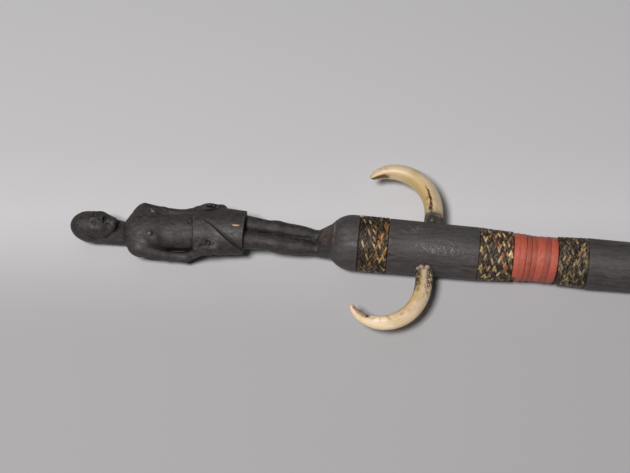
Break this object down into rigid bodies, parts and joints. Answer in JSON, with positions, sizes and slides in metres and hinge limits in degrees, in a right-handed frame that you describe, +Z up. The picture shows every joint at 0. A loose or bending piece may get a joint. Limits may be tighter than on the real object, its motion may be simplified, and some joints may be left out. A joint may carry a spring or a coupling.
{
  "type": "carved staff",
  "caption": "Long dark wooden staff with a figure carved at its head, a pair of curved tusks and bound, plaited bands round the shaft; it lies on its side.",
  "frame": {"origin": "under the middle of the whole staff as it lies, on the surface that it rests on", "axes": "+X from the figure's crown towards the foot, +Y towards the figure's left side, +Z up, out of the figure's front"},
  "size_m": [1.1502, 0.165, 0.0475],
  "materials": {
    "dark_wood": "dark close-grained wood, waxed to a soft satin, with longitudinal grain and worn edges",
    "tusk": "creamy boar tusk, polished on its faces, with brown stains, a long crack and worn tips",
    "gum": "dark crumbly gum or resin, dull",
    "plaited_strips": "narrow split plant strips in straw, brown and black, plaited in a twill",
    "red_strip": "flat red strip wound edge over edge, slightly frayed, with a soft sheen"
  },
  "bodies": {
    "root": {"carved_wood": "dark_wood", "tusk_left": "tusk", "tusk_right": "tusk", "tusk_gum_left": "gum", "tusk_gum_right": "gum", "plaited_band_head": "plaited_strips", "plaited_band_upper": "plaited_strips", "plaited_band_lower": "plaited_strips", "red_binding": "red_strip"}
  },
  "joints": []
}
